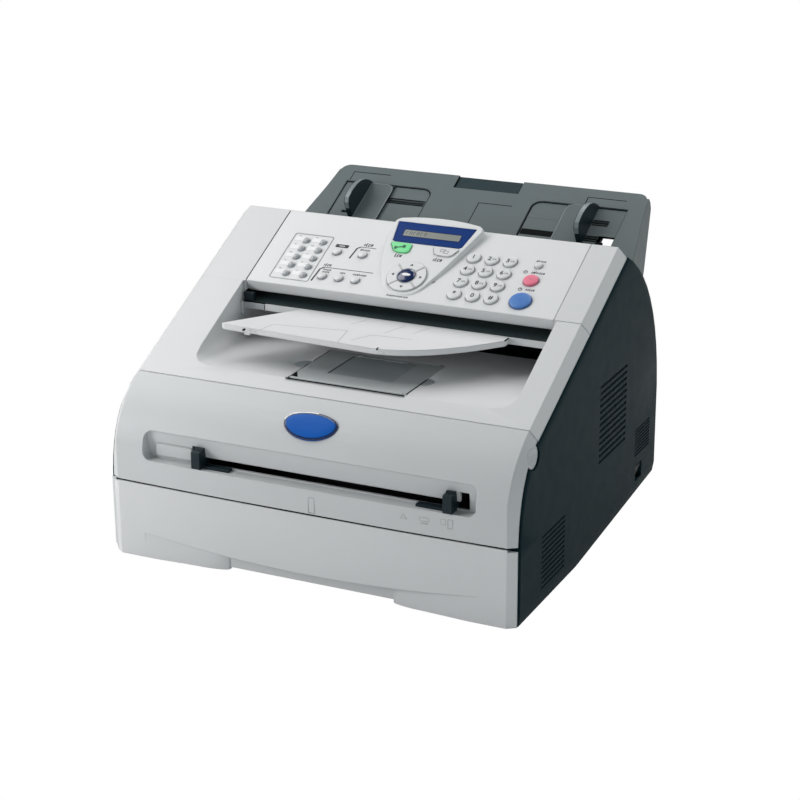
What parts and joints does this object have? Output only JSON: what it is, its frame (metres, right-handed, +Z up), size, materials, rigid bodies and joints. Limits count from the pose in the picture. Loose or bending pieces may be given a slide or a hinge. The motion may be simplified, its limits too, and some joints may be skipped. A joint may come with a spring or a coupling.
{
  "type": "fax machine",
  "caption": "Desktop laser fax machine with a sloped control panel, document tray, output well, hinged front cover and pull-out paper cassette.",
  "frame": {"origin": "centre of the bounding box's bottom face, on the surface that the rubber feet stand on", "axes": "+Z up, -Y out of the front with the cassette, +X to the right when facing the front"},
  "size_m": [0.374, 0.374, 0.2676],
  "materials": {
    "light_shell": "fine satin moulded light grey",
    "panel_shell": "fine satin moulded off-white grey",
    "dark_shell": "fine textured charcoal",
    "tray_grey": "fine textured mid grey",
    "guide_dark": "satin charcoal",
    "frame_plastic": "plain moulded dark grey",
    "foot_rubber": "matt black",
    "plate_steel": "zinc plated",
    "heat_roller_metal": "dark release coating",
    "press_rubber": "silicone",
    "pickup_rubber": "fine ribbed",
    "engine_plastic": "plain black",
    "board_green": "solder mask",
    "badge_blue": "glossy domed blue with a bright rim",
    "window_blue": "clear window printed blue round a grey display",
    "flap_grey": "satin grey",
    "key_grey": "satin light grey",
    "small_key_grey": "satin grey",
    "start_blue": "satin blue",
    "stop_pink": "satin pink red",
    "fax_green": "satin light green",
    "set_navy": "satin navy"
  },
  "bodies": {
    "machine": {"base_pan": "frame_plastic", "rubber_feet": "foot_rubber", "chassis": "frame_plastic", "left_side_cover": "dark_shell", "right_side_cover": "dark_shell", "top_cover": "light_shell", "scanner_deck": "light_shell", "rear_shell": "dark_shell", "drum_unit": "engine_plastic", "toner_cartridge": "engine_plastic", "laser_unit": "engine_plastic", "main_board": "board_green", "power_supply": "plate_steel", "document_tray": "tray_grey", "exit_plate": "light_shell"},
    "front_cover": {"front_cover": "light_shell", "front_badge": "badge_blue"},
    "feed_guide_left": {"feed_guide_left": "guide_dark"},
    "feed_guide_right": {"feed_guide_right": "guide_dark"},
    "paper_cassette": {"paper_cassette": "light_shell"},
    "lift_plate": {"lift_plate": "plate_steel"},
    "pickup_roller": {"pickup_roller": "pickup_rubber"},
    "heat_roller": {"heat_roller": "heat_roller_metal"},
    "pressure_roller": {"pressure_roller": "press_rubber"},
    "back_door": {"back_door": "dark_shell"},
    "power_switch": {"power_switch": "engine_plastic"},
    "document_guide_left": {"document_guide_left": "guide_dark"},
    "document_guide_right": {"document_guide_right": "guide_dark"},
    "tray_extension": {"tray_extension": "guide_dark"},
    "output_flap": {"output_flap": "flap_grey"},
    "control_panel": {"control_panel": "panel_shell", "display_window": "window_blue"},
    "one_touch_keys": {"one_touch_keys": "small_key_grey"},
    "shift_key": {"shift_key": "small_key_grey"},
    "options_key": {"options_key": "small_key_grey"},
    "redial_key": {"redial_key": "small_key_grey"},
    "hook_key": {"hook_key": "small_key_grey"},
    "resolution_key": {"resolution_key": "small_key_grey"},
    "reports_key": {"reports_key": "key_grey"},
    "stop_key": {"stop_key": "stop_pink"},
    "start_key": {"start_key": "start_blue"},
    "fax_key": {"fax_key": "fax_green"},
    "copy_key": {"copy_key": "key_grey"},
    "set_key": {"set_key": "set_navy"},
    "nav_key_up": {"nav_key_up": "key_grey"},
    "nav_key_right": {"nav_key_right": "key_grey"},
    "nav_key_down": {"nav_key_down": "key_grey"},
    "nav_key_left": {"nav_key_left": "key_grey"},
    "key_1": {"key_1": "key_grey"},
    "key_2": {"key_2": "key_grey"},
    "key_3": {"key_3": "key_grey"},
    "key_4": {"key_4": "key_grey"},
    "key_5": {"key_5": "key_grey"},
    "key_6": {"key_6": "key_grey"},
    "key_7": {"key_7": "key_grey"},
    "key_8": {"key_8": "key_grey"},
    "key_9": {"key_9": "key_grey"},
    "key_star": {"key_star": "key_grey"},
    "key_0": {"key_0": "key_grey"},
    "key_hash": {"key_hash": "key_grey"}
  },
  "joints": [
    {"name": "front_cover_hinge", "type": "hinge", "parent": "machine", "child": "front_cover", "pos_m": [0, -0.179, 0.084], "axis": [1, 0, 0], "range_deg": [0, 90]},
    {"name": "feed_guide_right_slide", "type": "slide", "parent": "front_cover", "child": "feed_guide_right", "axis": [-1, 0, 0], "range_m": [0, 0.055]},
    {"name": "feed_guide_left_slide", "type": "slide", "parent": "front_cover", "child": "feed_guide_left", "axis": [1, 0, 0], "range_m": [0, 0.055]},
    {"name": "cassette_slide", "type": "slide", "parent": "machine", "child": "paper_cassette", "axis": [0, -1, 0], "range_m": [0, 0.26]},
    {"name": "lift_plate_hinge", "type": "hinge", "parent": "paper_cassette", "child": "lift_plate", "pos_m": [0, -0.007, 0.0119], "axis": [-1, 0, 0], "range_deg": [0, 16]},
    {"name": "pickup_roller_spin", "type": "hinge", "parent": "machine", "child": "pickup_roller", "pos_m": [0, -0.11, 0.079], "axis": [1, 0, 0], "continuous": true},
    {"name": "heat_roller_spin", "type": "hinge", "parent": "machine", "child": "heat_roller", "pos_m": [0, 0.095, 0.118], "axis": [1, 0, 0], "continuous": true},
    {"name": "pressure_roller_spin", "type": "hinge", "parent": "machine", "child": "pressure_roller", "pos_m": [0, 0.095, 0.0897], "axis": [1, 0, 0], "continuous": true},
    {"name": "back_door_hinge", "type": "hinge", "parent": "machine", "child": "back_door", "pos_m": [0, 0.142, 0.04], "axis": [-1, 0, 0], "range_deg": [0, 90]},
    {"name": "power_switch_rock", "type": "hinge", "parent": "machine", "child": "power_switch", "pos_m": [0.1805, 0.1, 0.034], "axis": [0, -1, 0], "range_deg": [0, 14]},
    {"name": "document_guide_right_slide", "type": "slide", "parent": "machine", "child": "document_guide_right", "axis": [-1, 0, 0], "range_m": [0, 0.034]},
    {"name": "document_guide_left_slide", "type": "slide", "parent": "machine", "child": "document_guide_left", "axis": [1, 0, 0], "range_m": [0, 0.034]},
    {"name": "tray_extension_slide", "type": "slide", "parent": "machine", "child": "tray_extension", "axis": [0, 0.8829, 0.4695], "range_m": [0, 0.04]},
    {"name": "output_flap_hinge", "type": "hinge", "parent": "machine", "child": "output_flap", "pos_m": [0.0093, -0.1249, 0.1591], "axis": [1, 0, 0], "range_deg": [0, 16]},
    {"name": "control_panel_hinge", "type": "hinge", "parent": "machine", "child": "control_panel", "pos_m": [0.0093, 0.05536, 0.23906], "axis": [-1, 0, 0], "range_deg": [0, 45]},
    {"name": "one_touch_keys_press", "type": "slide", "parent": "control_panel", "child": "one_touch_keys", "axis": [0, 0.4509, -0.8926], "range_m": [0, 0.0012], "stiffness_N_per_m": 1200},
    {"name": "shift_key_press", "type": "slide", "parent": "control_panel", "child": "shift_key", "axis": [0, 0.4509, -0.8926], "range_m": [0, 0.0012], "stiffness_N_per_m": 600},
    {"name": "options_key_press", "type": "slide", "parent": "control_panel", "child": "options_key", "axis": [0, 0.4509, -0.8926], "range_m": [0, 0.0012], "stiffness_N_per_m": 600},
    {"name": "redial_key_press", "type": "slide", "parent": "control_panel", "child": "redial_key", "axis": [0, 0.4509, -0.8926], "range_m": [0, 0.0012], "stiffness_N_per_m": 600},
    {"name": "hook_key_press", "type": "slide", "parent": "control_panel", "child": "hook_key", "axis": [0, 0.4509, -0.8926], "range_m": [0, 0.0012], "stiffness_N_per_m": 600},
    {"name": "resolution_key_press", "type": "slide", "parent": "control_panel", "child": "resolution_key", "axis": [0, 0.4509, -0.8926], "range_m": [0, 0.0012], "stiffness_N_per_m": 600},
    {"name": "reports_key_press", "type": "slide", "parent": "control_panel", "child": "reports_key", "axis": [0, 0.4509, -0.8926], "range_m": [0, 0.0012], "stiffness_N_per_m": 600},
    {"name": "stop_key_press", "type": "slide", "parent": "control_panel", "child": "stop_key", "axis": [0, 0.4509, -0.8926], "range_m": [0, 0.0012], "stiffness_N_per_m": 600},
    {"name": "start_key_press", "type": "slide", "parent": "control_panel", "child": "start_key", "axis": [0, 0.4509, -0.8926], "range_m": [0, 0.0012], "stiffness_N_per_m": 600},
    {"name": "fax_key_press", "type": "slide", "parent": "control_panel", "child": "fax_key", "axis": [0, 0.506, -0.8625], "range_m": [0, 0.0012], "stiffness_N_per_m": 600},
    {"name": "copy_key_press", "type": "slide", "parent": "control_panel", "child": "copy_key", "axis": [0, 0.506, -0.8625], "range_m": [0, 0.0012], "stiffness_N_per_m": 600},
    {"name": "set_key_press", "type": "slide", "parent": "control_panel", "child": "set_key", "axis": [0, 0.506, -0.8625], "range_m": [0, 0.0012], "stiffness_N_per_m": 600},
    {"name": "nav_key_up_press", "type": "slide", "parent": "control_panel", "child": "nav_key_up", "axis": [0, 0.506, -0.8625], "range_m": [0, 0.0012], "stiffness_N_per_m": 600},
    {"name": "nav_key_right_press", "type": "slide", "parent": "control_panel", "child": "nav_key_right", "axis": [0, 0.506, -0.8625], "range_m": [0, 0.0012], "stiffness_N_per_m": 600},
    {"name": "nav_key_down_press", "type": "slide", "parent": "control_panel", "child": "nav_key_down", "axis": [0, 0.506, -0.8625], "range_m": [0, 0.0012], "stiffness_N_per_m": 600},
    {"name": "nav_key_left_press", "type": "slide", "parent": "control_panel", "child": "nav_key_left", "axis": [0, 0.506, -0.8625], "range_m": [0, 0.0012], "stiffness_N_per_m": 600},
    {"name": "key_1_press", "type": "slide", "parent": "control_panel", "child": "key_1", "axis": [0, 0.4509, -0.8926], "range_m": [0, 0.0012], "stiffness_N_per_m": 600},
    {"name": "key_2_press", "type": "slide", "parent": "control_panel", "child": "key_2", "axis": [0, 0.4509, -0.8926], "range_m": [0, 0.0012], "stiffness_N_per_m": 600},
    {"name": "key_3_press", "type": "slide", "parent": "control_panel", "child": "key_3", "axis": [0, 0.4509, -0.8926], "range_m": [0, 0.0012], "stiffness_N_per_m": 600},
    {"name": "key_4_press", "type": "slide", "parent": "control_panel", "child": "key_4", "axis": [0, 0.4509, -0.8926], "range_m": [0, 0.0012], "stiffness_N_per_m": 600},
    {"name": "key_5_press", "type": "slide", "parent": "control_panel", "child": "key_5", "axis": [0, 0.4509, -0.8926], "range_m": [0, 0.0012], "stiffness_N_per_m": 600},
    {"name": "key_6_press", "type": "slide", "parent": "control_panel", "child": "key_6", "axis": [0, 0.4509, -0.8926], "range_m": [0, 0.0012], "stiffness_N_per_m": 600},
    {"name": "key_7_press", "type": "slide", "parent": "control_panel", "child": "key_7", "axis": [0, 0.4509, -0.8926], "range_m": [0, 0.0012], "stiffness_N_per_m": 600},
    {"name": "key_8_press", "type": "slide", "parent": "control_panel", "child": "key_8", "axis": [0, 0.4509, -0.8926], "range_m": [0, 0.0012], "stiffness_N_per_m": 600},
    {"name": "key_9_press", "type": "slide", "parent": "control_panel", "child": "key_9", "axis": [0, 0.4509, -0.8926], "range_m": [0, 0.0012], "stiffness_N_per_m": 600},
    {"name": "key_star_press", "type": "slide", "parent": "control_panel", "child": "key_star", "axis": [0, 0.4509, -0.8926], "range_m": [0, 0.0012], "stiffness_N_per_m": 600},
    {"name": "key_0_press", "type": "slide", "parent": "control_panel", "child": "key_0", "axis": [0, 0.4509, -0.8926], "range_m": [0, 0.0012], "stiffness_N_per_m": 600},
    {"name": "key_hash_press", "type": "slide", "parent": "control_panel", "child": "key_hash", "axis": [0, 0.4509, -0.8926], "range_m": [0, 0.0012], "stiffness_N_per_m": 600}
  ],
  "couplings": [
    {"joint": "feed_guide_left_slide", "follows": "feed_guide_right_slide", "ratio": 1},
    {"joint": "document_guide_left_slide", "follows": "document_guide_right_slide", "ratio": 1},
    {"joint": "pressure_roller_spin", "follows": "heat_roller_spin", "ratio": -1}
  ]
}
